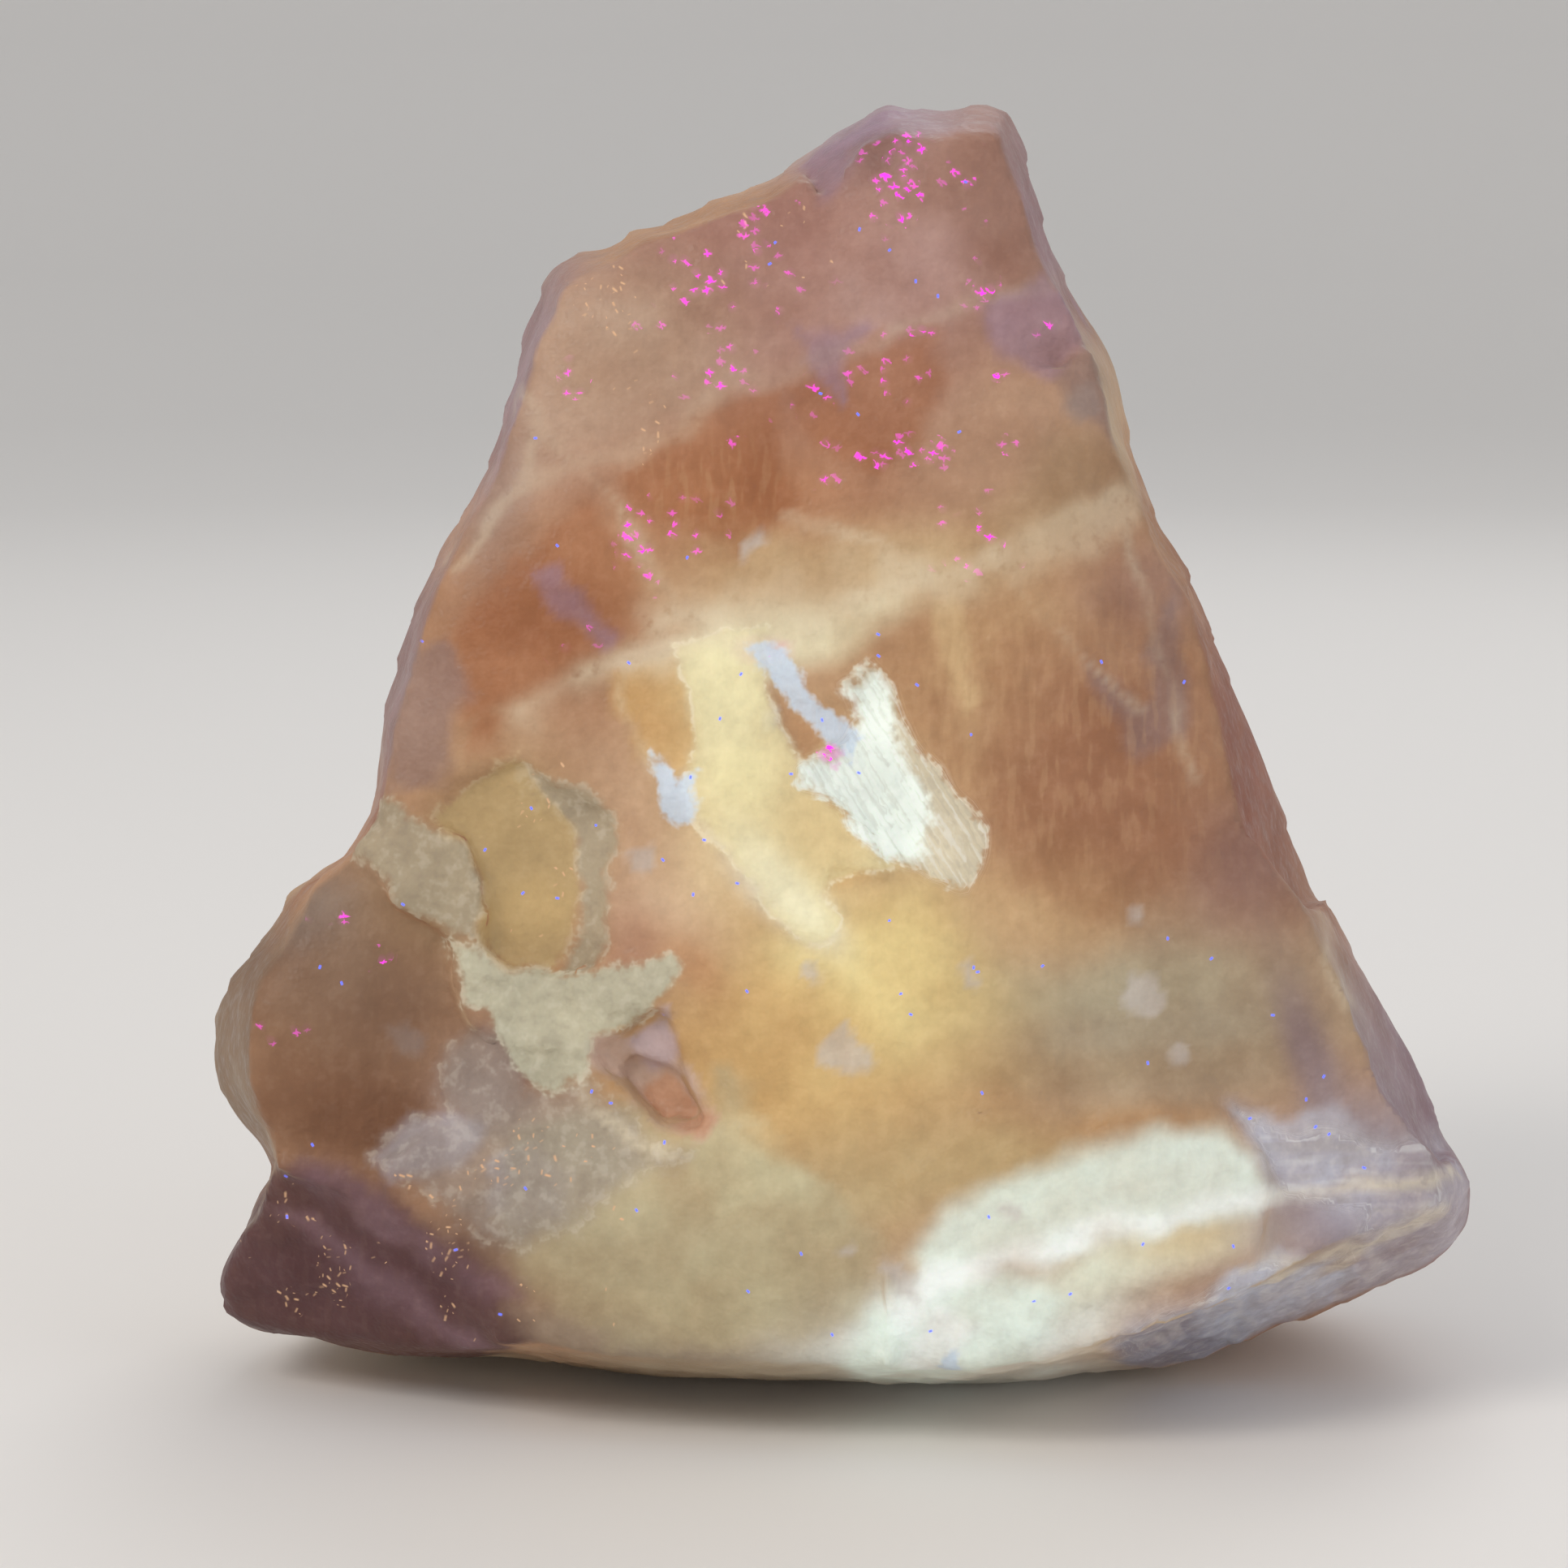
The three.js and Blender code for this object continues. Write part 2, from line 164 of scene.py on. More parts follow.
# These are mixed into the tone of the vertices, and have no rim.
SOFT_PATCHES = {
    "rust": Patch([
        [(765, 571), (874, 505), (969, 469), (962, 556), (969, 629), (911, 680), (802, 643)],
        [(969, 469), (1071, 418), (1158, 411), (1158, 469), (1129, 540), (1090, 575), (1000, 560)],
        [(560, 760), (664, 658), (715, 614), (790, 690), (810, 750), (700, 815), (620, 870),
         (570, 900)],
        [(590, 880), (630, 880), (620, 920), (575, 925)],
    ], "A0643F", 0.6, 16, 1.0),
    "streaked": Patch([
        [(1085, 770), (1145, 745), (1165, 880), (1190, 970), (1130, 900), (1100, 830)],
        [(1215, 760), (1330, 810), (1460, 900), (1480, 1010), (1450, 1110), (1300, 1120), (1220, 1060),
         (1200, 960)],
    ], "9A6A4C", 0.45, 40, 1.6),
    "facets": Patch([
        [(1311, 456), (1345, 410), (1372, 470), (1391, 556), (1340, 520)],
        [(1330, 800), (1395, 860), (1450, 700), (1470, 900), (1400, 930)],
        [(480, 880), (500, 800), (560, 790), (575, 860), (530, 960), (478, 980)],
    ], "8A726E", 0.62, 12, 1.0),
    # Partly the lower right's own white and partly painted light, palest where the lower right glows
    "bright": Patch([
        [(1120, 1540), (1165, 1490), (1212, 1468), (1308, 1425), (1425, 1394), (1500, 1398),
         (1545, 1424), (1560, 1462), (1540, 1492), (1440, 1506), (1330, 1536), (1240, 1560),
         (1150, 1580)],
        [(1040, 1660), (1090, 1590), (1150, 1560), (1240, 1570), (1310, 1600), (1270, 1680),
         (1180, 1720), (1020, 1720)],
    ], "E2EEE2", 0.8, 20, 0.4),
    "frost": Patch([
        [(456, 1432), (502, 1385), (560, 1368), (596, 1392), (560, 1440), (490, 1460)],
        [(600, 1440), (660, 1420), (700, 1450), (690, 1500), (630, 1520), (600, 1490)],
    ], "B6AEB8", 0.75, 12, 0.9),
    "snow": Patch([
        [(1085, 1600), (1140, 1560), (1255, 1534), (1425, 1488), (1560, 1462), (1640, 1458),
         (1640, 1470), (1560, 1482), (1430, 1508), (1260, 1562), (1150, 1590), (1110, 1640)],
        [(1110, 1640), (1150, 1600), (1210, 1640), (1190, 1690), (1120, 1690)],
    ], "F4F8F4", 0.8, 14, 0.6),
    # The lower left corner: its own purple-brown, darkened further by painted shade towards the rim
    "dusky": Patch([
        [(250, 1440), (330, 1432), (420, 1440), (500, 1480), (590, 1560), (660, 1660), (640, 1740),
         (250, 1740)],
    ], "583A3C", 0.88, 24, 1.2),
    "stripes": Patch([
        [(352, 1440), (420, 1436), (560, 1540), (640, 1600), (600, 1600), (500, 1530), (400, 1470)],
        [(330, 1490), (380, 1500), (520, 1600), (600, 1660), (560, 1660), (460, 1590)],
    ], "866870", 0.6, 18, 1.0),
    "cream": Patch([
        [(640, 1400), (700, 1370), (762, 1352), (830, 1395), (897, 1395), (965, 1406), (1010, 1440),
         (1055, 1496), (1100, 1530), (1060, 1620), (960, 1650), (760, 1660), (660, 1600), (600, 1500)],
        [(884, 1316), (905, 1310), (922, 1340), (918, 1372), (890, 1370)],
    ], "B8AC8A", 0.6, 16, 0.9),
    "cream_top": Patch([
        [(850, 1385), (905, 1372), (960, 1400), (1010, 1445), (1000, 1480), (900, 1492), (846, 1450)],
    ], "CCC4A0", 0.55, 16, 1.0),
    "blush": Patch([
        [(905, 800), (925, 786), (968, 798), (972, 820), (944, 830), (915, 822)],
    ], "E6C2C0", 0.7, 8, 0.7),
    "bar": Patch([
        [(1148, 748), (1182, 744), (1196, 800), (1206, 868), (1186, 880), (1170, 822)],
    ], "CCAE82", 0.7, 9, 0.7),
    "hollow": Patch([
        [(590, 1268), (646, 1266), (672, 1306), (640, 1330), (600, 1322)],
    ], "8A6A60", 0.6, 12, 1.2),
    "honey": Patch([
        [(765, 833), (829, 807), (848, 851), (850, 940), (835, 952), (795, 925), (768, 878)],
        [(600, 1100), (690, 1090), (712, 1140), (640, 1170), (600, 1150)],
    ], "D2A866", 0.6, 14, 1.2),
    "corner": Patch([
        [(1518, 1368), (1600, 1385), (1720, 1400), (1840, 1380), (1840, 1560), (1500, 1730),
         (1340, 1730), (1375, 1650), (1440, 1606), (1530, 1566), (1660, 1548), (1690, 1500),
         (1580, 1478), (1560, 1440)],
    ], "B2AAB2", 0.75, 24, 0.6),
    "crumbs": Patch([
        [(1375, 1660), (1420, 1625), (1500, 1600), (1560, 1590), (1530, 1650), (1480, 1690),
         (1380, 1700)],
    ], "8C8C9C", 0.7, 14, 1.2),
    "lumps": Patch([
        [(1470, 1600), (1520, 1562), (1600, 1556), (1660, 1570), (1640, 1606), (1560, 1636),
         (1490, 1646)],
        [(1525, 1378), (1600, 1362), (1700, 1380), (1712, 1420), (1650, 1452), (1600, 1468),
         (1560, 1440)],
    ], "C4C6D2", 0.6, 12, 1.0),
    "lavender": Patch([
        [(991, 207), (1019, 169), (1056, 150), (1107, 120), (1136, 145), (1090, 155), (1049, 185),
         (1020, 258)],
        [(1209, 372), (1300, 335), (1360, 405), (1303, 462), (1225, 432)],
        [(984, 396), (1005, 412), (1056, 404), (1046, 440), (1042, 498), (1028, 490), (998, 440)],
        [(655, 698), (680, 695), (715, 740), (755, 775), (745, 795), (705, 765)],
    ], "9A7E90", 0.6, 10, 0.7),
    "pit": Patch([
        [(730, 1286), (778, 1268), (796, 1250), (832, 1262), (838, 1304), (880, 1382), (856, 1400),
         (808, 1382), (766, 1340), (736, 1328)],
    ], "CEB6A8", 0.85, 7, 0.7),
    "pit_block": Patch([
        [(782, 1270), (800, 1250), (830, 1252), (840, 1306), (808, 1322), (790, 1300)],
    ], "C8B6BC", 0.8, 7, 0.6),
    "pit_floor": Patch([
        [(796, 1334), (826, 1320), (880, 1382), (856, 1400), (808, 1378)],
    ], "C6987A", 0.9, 8, 0.8),
    "gap": Patch([
        [(940, 850), (954, 842), (980, 876), (1008, 910), (1004, 928), (984, 940), (964, 902)],
    ], "B98E68", 0.8, 6, 0.6),
    "spots": Patch([
        [(1188, 1188), (1206, 1180), (1220, 1200), (1214, 1220), (1196, 1212)],
        [(1010, 1278), (1040, 1264), (1074, 1288), (1090, 1314), (1050, 1322), (1015, 1308)],
        [(1388, 1216), (1408, 1204), (1432, 1216), (1430, 1240), (1404, 1248), (1392, 1234)],
        [(1444, 1290), (1462, 1286), (1468, 1300), (1450, 1306)],
        [(1088, 1560), (1108, 1550), (1128, 1568), (1122, 1590), (1098, 1584)],
        [(1228, 1490), (1250, 1488), (1256, 1504), (1236, 1510)],
        [(780, 1052), (802, 1048), (812, 1070), (790, 1078)],
        [(1040, 1540), (1058, 1534), (1062, 1552), (1046, 1558)],
        [(986, 1178), (1004, 1182), (1010, 1204), (992, 1200)],
        [(908, 664), (936, 660), (946, 676), (918, 682)],
        [(940, 876), (956, 874), (958, 892), (944, 896)],
        [(1392, 1112), (1408, 1110), (1412, 1126), (1396, 1128)],
    ], "C6BEB8", 0.6, 5, 0.9),
    "dim_spots": Patch([
        [(472, 1262), (500, 1254), (522, 1272), (512, 1300), (486, 1296)],
        [(1320, 488), (1338, 482), (1344, 502), (1326, 508)],
    ], "948680", 0.5, 7, 0.9),
}
# These are mixed in by the material, and lie over the soft ones.
PATCHES = {
    "crust": Patch([
        [(456, 1432), (502, 1385), (586, 1364), (640, 1330), (730, 1330), (766, 1364), (808, 1412),
         (850, 1424), (780, 1450), (706, 1514), (640, 1540), (586, 1520), (538, 1472)],
        [(541, 1340), (548, 1304), (574, 1272), (604, 1262), (640, 1310), (650, 1350), (610, 1380),
         (566, 1384)],
    ], "988E86", 0.6, 18, 0.9, 0.12),
    "plate": Patch([
        [(448, 1000), (466, 975), (493, 986), (510, 996), (533, 1016), (559, 1024), (574, 1033),
         (582, 1056), (589, 1086), (604, 1129), (592, 1145), (596, 1165), (553, 1159), (536, 1144),
         (510, 1132), (483, 1116), (475, 1085), (440, 1055), (420, 1062)],
        [(640, 935), (690, 960), (728, 986), (758, 1009), (765, 1046), (747, 1066), (758, 1086),
         (752, 1112), (748, 1165), (725, 1195), (690, 1208), (716, 1150), (720, 1080), (690, 1020),
         (650, 980)],
    ], "ACA088", 0.85, 9, 0.8, 0.12),
    "shelf": Patch([
        [(550, 1166), (604, 1178), (632, 1197), (694, 1204), (743, 1188), (790, 1186), (826, 1174),
         (838, 1202), (826, 1232), (790, 1250), (734, 1286), (730, 1332), (682, 1338), (634, 1318),
         (610, 1292), (592, 1240), (562, 1232)],
    ], "C4C2AA", 0.88, 8, 0.8, 0.2),
    "amber": Patch([
        [(534, 996), (546, 1023), (569, 1029), (586, 1066), (594, 1112), (602, 1129), (592, 1152),
         (596, 1172), (632, 1195), (690, 1200), (705, 1150), (715, 1080), (695, 1020), (675, 975),
         (645, 930), (592, 953), (559, 966), (536, 983)],
    ], "BCA274", 0.85, 8, 0.7, 0.1),
    "yellow": Patch([
        [(830, 800), (890, 782), (950, 774), (944, 812), (943, 851), (962, 900), (985, 940), (992, 965),
         (1042, 998), (1069, 1025), (1102, 1058), (1118, 1078), (1069, 1084), (1030, 1078),
         (1015, 1092), (1018, 1108), (1033, 1130), (1025, 1156), (993, 1160), (960, 1142), (938, 1107),
         (900, 1064), (856, 1009), (851, 938), (848, 851)],
    ], "E8DFAE", 0.6, 9, 0.6, 0.35),
    "scar_edge": Patch([
        [(1040, 838), (1075, 822), (1104, 850), (1110, 884), (1135, 927), (1188, 987), (1208, 1025),
         (1213, 1072), (1190, 1096), (1145, 1090), (1098, 1058), (1043, 1000), (1018, 984), (980, 971),
         (980, 948), (1005, 928), (1036, 916), (1050, 880)],
    ], "CFC8B0", 0.85, 7, 0.9, 0.25),
    "scar": Patch([
        [(1040, 848), (1075, 830), (1094, 860), (1099, 900), (1114, 945), (1146, 1000), (1136, 1066),
         (1100, 1060), (1044, 998), (1020, 982), (984, 968), (984, 948), (1010, 932), (1040, 922),
         (1054, 885)],
    ], "F0FBF2", 0.94, 10, 1.0, 0.0),
    "ice": Patch([
        [(916, 802), (950, 796), (975, 812), (1004, 856), (1056, 900), (1046, 934), (1012, 910),
         (980, 870), (955, 842), (930, 828)],
        [(796, 926), (818, 944), (840, 956), (860, 950), (862, 988), (848, 1012), (822, 1002),
         (803, 965)],
        [(1150, 1700), (1160, 1672), (1190, 1672), (1196, 1700)],
    ], "CCDCEC", 0.85, 6, 0.8, 0.1),
    "pink": Patch([
        [(1006, 924), (1016, 916), (1030, 920), (1031, 934), (1020, 944), (1008, 938)],
    ], "F0A8DC", 0.75, 5, 0.8, 0.0),
}

# Pale veils inside the stone, as lines on the front view with a half width and a strength
VEILS = [
    ([(664, 596), (838, 538), (911, 476), (998, 447), (1100, 407), (1194, 374), (1330, 335)], 11, 0.16),
    ([(640, 870), (760, 815), (960, 765), (1120, 735)], 22, 0.45),
    ([(1100, 740), (1250, 700), (1400, 615)], 20, 0.34),
    ([(820, 762), (1000, 745), (1220, 705)], 30, 0.5),
    ([(730, 820), (860, 785), (1000, 757)], 8, 0.4),
    ([(655, 530), (760, 620), (830, 745)], 9, 0.26),
    ([(960, 640), (1080, 670), (1180, 725)], 5, 0.3),
    ([(1230, 725), (1330, 800), (1400, 870)], 6, 0.25),
    ([(780, 790), (770, 860), (800, 950)], 6, 0.3),
    ([(558, 700), (650, 600), (655, 530), (640, 480)], 7, 0.25),
    ([(1560, 1472), (1680, 1462), (1780, 1455)], 9, 0.6),
    ([(1540, 1565), (1650, 1550), (1770, 1500)], 8, 0.5),
    ([(718, 1334), (772, 1400), (826, 1424)], 5, 0.5),
    ([(856, 1004), (900, 1060), (955, 1113), (985, 1158), (1030, 1150)], 3, 0.6),
    ([(935, 800), (960, 890), (985, 940)], 3, 0.5),
    ([(1622, 1130), (1640, 1200), (1650, 1240)], 10, 0.4),
    ([(1380, 640), (1420, 780), (1470, 960)], 7, 0.25),
]


def shade(hexed):
    """The linear colour for a colour as it looks, such as E2A968."""
    values = [int(hexed[i:i + 2], 16) / 255 for i in (0, 2, 4)]
    return [v / 12.92 if v <= 0.04045 else ((v + 0.055) / 1.055) ** 2.4 for v in values]


# Soft zones of the front, later ones over earlier ones, partly the stone's own tones and partly painted
# light:
# paler and yellower towards the glowing middle and lower right, and darker towards the rim as painted
# shade.
# Middle, radii, turn in degrees, colour and strength
TONE_AND_LIGHT_ZONES = [
    ((1000, 320), (480, 260), -20, "AE867A", 0.95),
    ((1230, 250), (120, 170), 0, "966F5F", 0.8),
    ((900, 300), (130, 80), -15, "9C6D61", 0.6),
    ((1150, 330), (80, 60), 0, "BC9890", 0.6),
    ((760, 450), (150, 130), -20, "BA9C84", 0.85),
    ((1080, 380), (60, 40), 0, "B08E84", 0.5),
    ((1050, 190), (80, 60), -25, "8A6862", 0.8),
    ((1260, 540), (150, 110), -15, "B69278", 0.9),
    ((900, 620), (200, 110), -18, "AE764F", 0.7),
    ((640, 780), (120, 120), 0, "9E6C4E", 0.8),
    ((1330, 600), (110, 60), -20, "9C7E60", 0.85),
    ((600, 600), (60, 120), 20, "987D70", 0.8),
    ((1040, 690), (230, 60), -8, "C2A57C", 0.85),
    ((980, 765), (200, 36), -12, "E4DCBA", 0.9),
    ((1180, 860), (160, 190), 0, "BE9A70", 0.8),
    ((1370, 960), (170, 170), 0, "986C52", 0.9),
    ((1420, 740), (90, 60), 0, "9A7666", 0.75),
    ((1420, 1240), (300, 125), 4, "A6977F", 0.95),
    ((1560, 1060), (90, 90), 0, "88665F", 0.8),
    ((1360, 1205), (230, 34), -8, "B2A68A", 0.6),
    ((1330, 1305), (240, 26), -4, "A48A6C", 0.6),
    ((1625, 1300), (34, 120), -18, "8C7A82", 0.75),
    ((960, 1290), (250, 200), 25, "CEAA72", 0.95),
    ((1110, 1190), (140, 120), 30, "E6CF90", 0.85),
    ((1010, 1180), (80, 40), 20, "E6D49A", 0.7),
    ((800, 1080), (90, 150), -20, "C8A48A", 0.85),
    ((778, 1150), (34, 70), -15, "AE8068", 0.7),
    ((850, 1190), (60, 26), 50, "C08A60", 0.5),
    ((940, 1010), (150, 140), 30, "E2CC9A", 0.6),
    ((880, 860), (75, 90), 15, "EEE6BC", 0.85),
    ((1000, 1020), (60, 45), 30, "CC9858", 0.95),
    ((900, 960), (45, 40), 40, "EADCA8", 0.7),
    ((960, 1095), (95, 34), 48, "F6F3DF", 0.95),
    ((1160, 1440), (260, 70), -8, "B89C70", 0.9),
    ((1290, 1105), (100, 80), 0, "C8A478", 0.75),
    ((860, 1560), (280, 120), 5, "BCAE8C", 0.95),
    ((750, 1540), (110, 60), 0, "C0B698", 0.8),
    ((1180, 1640), (220, 70), -8, "E8F2EC", 0.95),
    ((1390, 1556), (160, 44), -12, "DADAC4", 0.9),
    ((1475, 1530), (70, 34), -10, "D4C096", 0.8),
    ((800, 1675), (260, 46), 4, "988C7C", 0.85),
    ((1690, 1490), (140, 120), 0, "A09AA6", 0.95),
    ((1410, 1378), (120, 24), 0, "B48C64", 0.7),
    ((430, 1570), (190, 110), 10, "5A3E42", 0.95),
    ((410, 1200), (180, 150), 0, "80634F", 0.95),
    ((380, 1130), (110, 50), -30, "7C6C62", 0.6),
    ((420, 1370), (150, 80), -10, "77523C", 0.9),
    ((620, 1060), (130, 120), 0, "B69C74", 0.7),
    ((690, 1400), (90, 45), 10, "B4A78A", 0.9),
    ((590, 1330), (70, 60), 0, "9C8880", 0.8),
]
# Tones of the sides, which the front view shows edge on, partly their own colour and partly painted shade,
# most of them darker than the front: middle, radii and colour
SIDE_ZONES = [
    ((1560, 900), (130, 260), "8A544A"),
    ((1760, 1360), (170, 260), "8A7684"),
    ((1290, 260), (90, 200), "967A82"),
    ((640, 430), (90, 260), "98828A"),
    ((500, 830), (90, 200), "927A7C"),
    ((1060, 150), (160, 80), "988494"),
    ((1180, 1705), (240, 60), "E6E6DA"),
    ((850, 1695), (230, 50), "A09078"),
    ((280, 1560), (120, 160), "523A46"),
    ((300, 1250), (90, 200), "76604F"),
]
# Painted glints: where magenta ticks, painted reflections that also glow, and gold glints show: middle,
# radii, and how thick they lie
MAGENTA_GLINTS = [
    ((1105, 225), (34, 66), 0.95),
    ((1185, 235), (22, 60), 0.45),
    ((1130, 180), (30, 14), 0.9),
    ((880, 340), (100, 75), 0.42),
    ((925, 262), (42, 22), 0.6),
    ((905, 253), (16, 12), 1.0),
    ((710, 462), (28, 26), 0.75),
    ((885, 455), (60, 30), 0.5),
    ((1010, 505), (30, 45), 0.4),
    ((1085, 460), (60, 40), 0.3),
    ((1110, 560), (55, 26), 0.85),
    ((835, 655), (50, 45), 0.35),
    ((785, 665), (24, 60), 0.65),
    ((1205, 668), (50, 40), 0.55),
    ((1245, 550), (14, 10), 1.0),
    ((1212, 358), (18, 22), 0.8),
    ((1235, 465), (22, 10), 0.8),
    ((420, 1132), (34, 8), 0.6),
    ((472, 1178), (12, 12), 0.8),
    ((700, 800), (50, 40), 0.1),
    ((340, 1275), (40, 22), 0.2),
    ((1019, 929), (15, 12), 1.0),
    ((905, 540), (22, 10), 0.85),
    ((942, 806), (16, 10), 0.7),
    ((1016, 594), (20, 8), 0.9),
    ((1130, 405), (30, 14), 0.5),
    ((1280, 405), (24, 10), 0.5),
]
GLINTS = [
    ((450, 1570), (210, 100), 0.34),
    ((640, 1040), (70, 60), 0.25),
    ((750, 385), (60, 50), 0.22),
    ((740, 530), (80, 70), 0.12),
    ((640, 1440), (140, 60), 0.16),
    ((950, 300), (60, 60), 0.12),
]

# How suddenly a zone ends: 1 is a plain bell
ZONE_END = 1.5


def zone_weight(seen, middle, radii, turn=0):
    """1 in the middle of an ellipse on the front view, and less and less away from it."""
    a = math.radians(turn)
    d = seen - np.array(middle)
    along = (d[:, 0] * math.cos(a) + d[:, 1] * math.sin(a)) / radii[0]
    over = (d[:, 1] * math.cos(a) - d[:, 0] * math.sin(a)) / radii[1]
    return np.exp(-(along ** 2 + over ** 2) ** ZONE_END)


# The fine surface: the part's solid cut up finely, smoothed between its sharp steps, then broken up again

VOXEL_MM = 0.91
CAD_NODE = "calcite"


def fine_copy(node):
    """A copy of a node's mesh, cut up into small even faces."""
    mesh = node.data.copy()
    made = bpy.data.objects.new("calcite_stone", mesh)
    bpy.context.scene.collection.objects.link(made)
    remesh = made.modifiers.new("fine", "REMESH")
    remesh.mode = "VOXEL"
    remesh.voxel_size = VOXEL_MM * MM
    bpy.context.view_layer.update()
    fine = bpy.data.meshes.new_from_object(made.evaluated_get(bpy.context.evaluated_depsgraph_get()))
    made.modifiers.clear()
    made.data = fine
    fine.materials.clear()
    fine.polygons.foreach_set("use_smooth", np.ones(len(fine.polygons), bool))
    return made


def read_places(mesh):
    co = np.empty(len(mesh.vertices) * 3)
    mesh.vertices.foreach_get("co", co)
    return co.reshape(-1, 3)


def read_normals(mesh):
    n = np.empty(len(mesh.vertices) * 3)
    mesh.vertices.foreach_get("normal", n)
    return n.reshape(-1, 3)


def write_places(mesh, co):
    mesh.vertices.foreach_set("co", co.ravel())
    mesh.update()


def neighbour_mean(values, edges, count):
    total = np.zeros_like(values)
    for k in range(values.shape[1]):
        total[:, k] = np.bincount(edges[:, 0], values[edges[:, 1], k], len(values))
        total[:, k] += np.bincount(edges[:, 1], values[edges[:, 0], k], len(values))
    return total / count[:, None]


SMOOTH_ROUNDS = 14
SMOOTH_SHARE = 0.6
# Between these cosines of the bend, a vertex goes from held to free
CREASE_COS = (0.88, 0.985)
# Between these heights over the floor too, so that the foot stays flat
HELD_FOOT_MM = (0.3, 2)


def evened(mesh):
    """Smooths the mesh everywhere but at its sharp steps and its flat foot."""
    co = read_places(mesh)
    edges = np.empty(len(mesh.edges) * 2, np.int32)
    mesh.edges.foreach_get("vertices", edges)
    edges = edges.reshape(-1, 2)
    count = np.bincount(edges.ravel(), minlength=len(co))
    normals = read_normals(mesh)
    bend = np.sum(normals[edges[:, 0]] * normals[edges[:, 1]], 1)
    sharpest = np.ones(len(co))
    for side in (0, 1):
        np.minimum.at(sharpest, edges[:, side], bend)
    free = smooth(sharpest, *CREASE_COS)
    free = np.minimum(free, neighbour_mean(free[:, None], edges, count)[:, 0])
    free *= smooth(co[:, 2] / MM, *HELD_FOOT_MM)
    for _ in range(SMOOTH_ROUNDS):
        co += SMOOTH_SHARE * free[:, None] * (neighbour_mean(co, edges, count) - co)
    write_places(mesh, co)


stone = fine_copy(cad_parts[CAD_NODE])
evened(stone.data)

row_mm = read_places(stone.data) / MM
own = own_frame(row_mm)
seen = front_view(own)
normal = read_normals(stone.data) @ np.array(TURN)
# 1 on the front and 0 on the sides and back, with three ways of going from one to the other
facing = smooth(normal[:, 2], -0.1, 0.35) * smooth(own[:, 2], -6, 2)
blend = smooth(normal[:, 2], 0.25, 0.7) * smooth(own[:, 2], -8, 10)
on_front = smooth(normal[:, 2], 0.35, 0.65)

# How far drawn edges stray, in units, and over how many millimetres
WARP = ((26, 5.5), (9, 2.3))


def strayed(places, seed):
    """The front view's places moved about a little, so that what is drawn on it gets natural edges."""
    moved = places.copy()
    for k, (far, size) in enumerate(WARP):
        moved[:, 0] += 0.5 * far * noise(own, size, seed + k)
        moved[:, 1] += 0.5 * far * noise(own, size, seed + 10 + k)
    return moved


drawn = strayed(seen, 201)
# In units: how far outside every patch the back lies, and how far outside a face counts that turns away
BACK_OUTSIDE = -200.0
TURNED_OUTSIDE = 120
LEAST_FACING = 0.02


def patch(outlines):
    """The distance to a patch's edge for each place, positive inside it."""
    nearest = np.max([within(drawn, outline) for outline in outlines], 0)
    return np.where(facing > LEAST_FACING, nearest - TURNED_OUTSIDE * (1 - facing), BACK_OUTSIDE)


patches = {name: patch(each.outlines) for name, each in PATCHES.items()}
soft_patches = {name: patch(each.outlines) for name, each in SOFT_PATCHES.items()}

# Small steps that cleavage leaves, grains on the crusts and fibres on the scar

# Two ways in which cleavage steps follow one another, then the ways along and across the scar's fibres, and
# how large the fibres are along, across and into the stone
RISING = np.array([-0.362, 0.896, 0.259])
FALLING = np.array([0.801, 0.540, 0.259])
FIBRE_WAY = np.array([0.53, -0.85, 0.0])
ACROSS_FIBRES = np.array([0.85, 0.53, 0.0])
FIBRE_MM = (7, 1.1, 3)
# How much of a step's length is the step itself, and the rest its slope
STEP_SHARE = 0.16
STEP_HEIGHT_MM = 0.8
FIBRE_HEIGHT_MM = 0.4
# Between these heights over the floor the fine steps fade in, so that the foot stays flat
FLAT_FOOT_MM = (0.4, 3)


def terraces(direction, every, seed):
    """Height from 0 to under 1 of worn steps that follow one another in a direction."""
    place = own @ direction / every + 0.7 * layered(own, 24, seed) + 0.2 * noise(own, 3.5, seed + 5)
    rest = place - np.floor(place)
    return smooth(rest, 0, STEP_SHARE) - rest


CRUSTS = ("crust", "shelf", "plate", "corner", "crumbs")
all_patches = {**soft_patches, **patches}
crust = smooth(np.max([all_patches[name] for name in CRUSTS], 0), -10, 8) * facing
# The crumbling lower edge at the right, as middle and radii on the front view
CRUMBLING = ((1500, 1640), (170, 60))
off_edge = (seen - np.array(CRUMBLING[0])) / np.array(CRUMBLING[1])
corner = np.exp(-(off_edge ** 2).sum(1)) * facing
rough = np.maximum(crust, corner)
stretched = np.stack([own @ FIBRE_WAY, own @ ACROSS_FIBRES, own[:, 2]], 1) / FIBRE_MM
fibres = noise(stretched, 1, 41)
step_field = smooth(layered(own, 30, 61), -0.15, 0.35)
height = (
    0.3 * layered(own, 9, 11) + 0.16 * layered(own, 3.4, 21)
    + STEP_HEIGHT_MM * (1 - 0.6 * facing) * (
        terraces(RISING, 7.5, 31) * step_field + 0.8 * terraces(FALLING, 5.5, 35) * (1 - step_field))
    + rough * (0.36 * noise(own, 2.6, 51) + 0.22 * noise(own, 1.7, 53))
    + FIBRE_HEIGHT_MM * fibres * smooth(patches["scar_edge"], -8, 4) * facing
)
height *= smooth(row_mm[:, 2], *FLAT_FOOT_MM)
row_mm += height[:, None] * read_normals(stone.data)
low, high = (np.array(corner_m) / MM for corner_m in (cad_low, cad_high))
row_mm = np.clip(row_mm, low, high)
write_places(stone.data, row_mm * MM)


